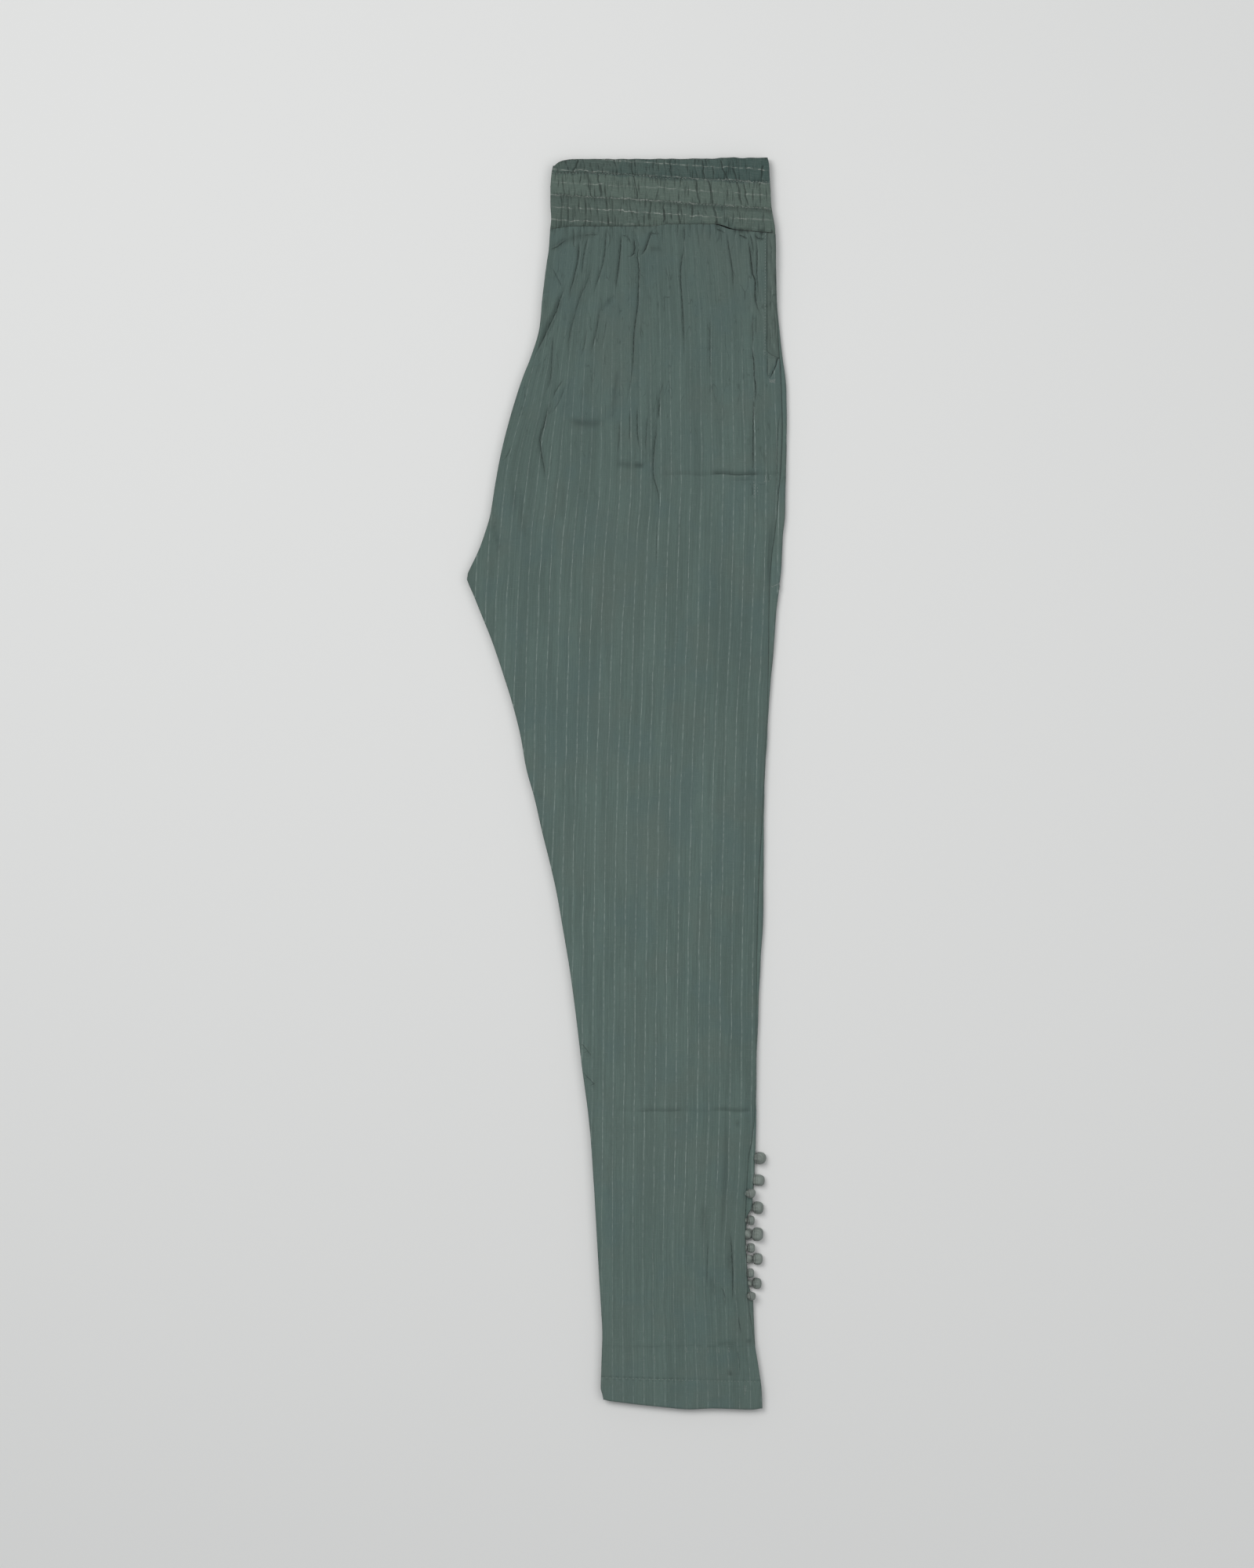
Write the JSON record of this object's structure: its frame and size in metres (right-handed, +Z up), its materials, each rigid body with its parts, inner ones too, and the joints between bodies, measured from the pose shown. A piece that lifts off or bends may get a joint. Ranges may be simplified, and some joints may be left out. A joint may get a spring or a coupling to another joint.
{
  "type": "folded straight pants",
  "caption": "Slim straight pants with a gathered elastic waistband and ball buttons at the ankle vent, folded leg on leg and laid flat.",
  "frame": {"origin": "centre of the folded garment's outline, on the surface that it lies on", "axes": "+Y from the hem to the waistband, +Z up from the surface, +X from the inseam to the outseam"},
  "size_m": [0.245, 0.9557, 0.0114],
  "materials": {
    "leg_cloth": "soft matt woven cotton in sage green with fine light pinstripes down the leg",
    "band_cloth": "the same pinstriped cotton cut crossways and gathered by elastic",
    "hidden_cloth": "the same matt pinstriped cotton, seen at its folded edges",
    "button_cloth": "matt cotton gathered over a ball"
  },
  "bodies": {
    "root": {"hidden_layers": "hidden_cloth", "front_panel": "leg_cloth", "waistband": "band_cloth", "pocket_facing": "leg_cloth", "ball_button_lower_1": "button_cloth", "ball_button_lower_2": "button_cloth", "ball_button_lower_3": "button_cloth", "ball_button_lower_4": "button_cloth", "ball_button_lower_5": "button_cloth", "ball_button_lower_6": "button_cloth", "ball_button_upper_1": "button_cloth", "ball_button_upper_2": "button_cloth", "ball_button_upper_3": "button_cloth", "ball_button_upper_4": "button_cloth", "ball_button_upper_5": "button_cloth"}
  },
  "joints": []
}
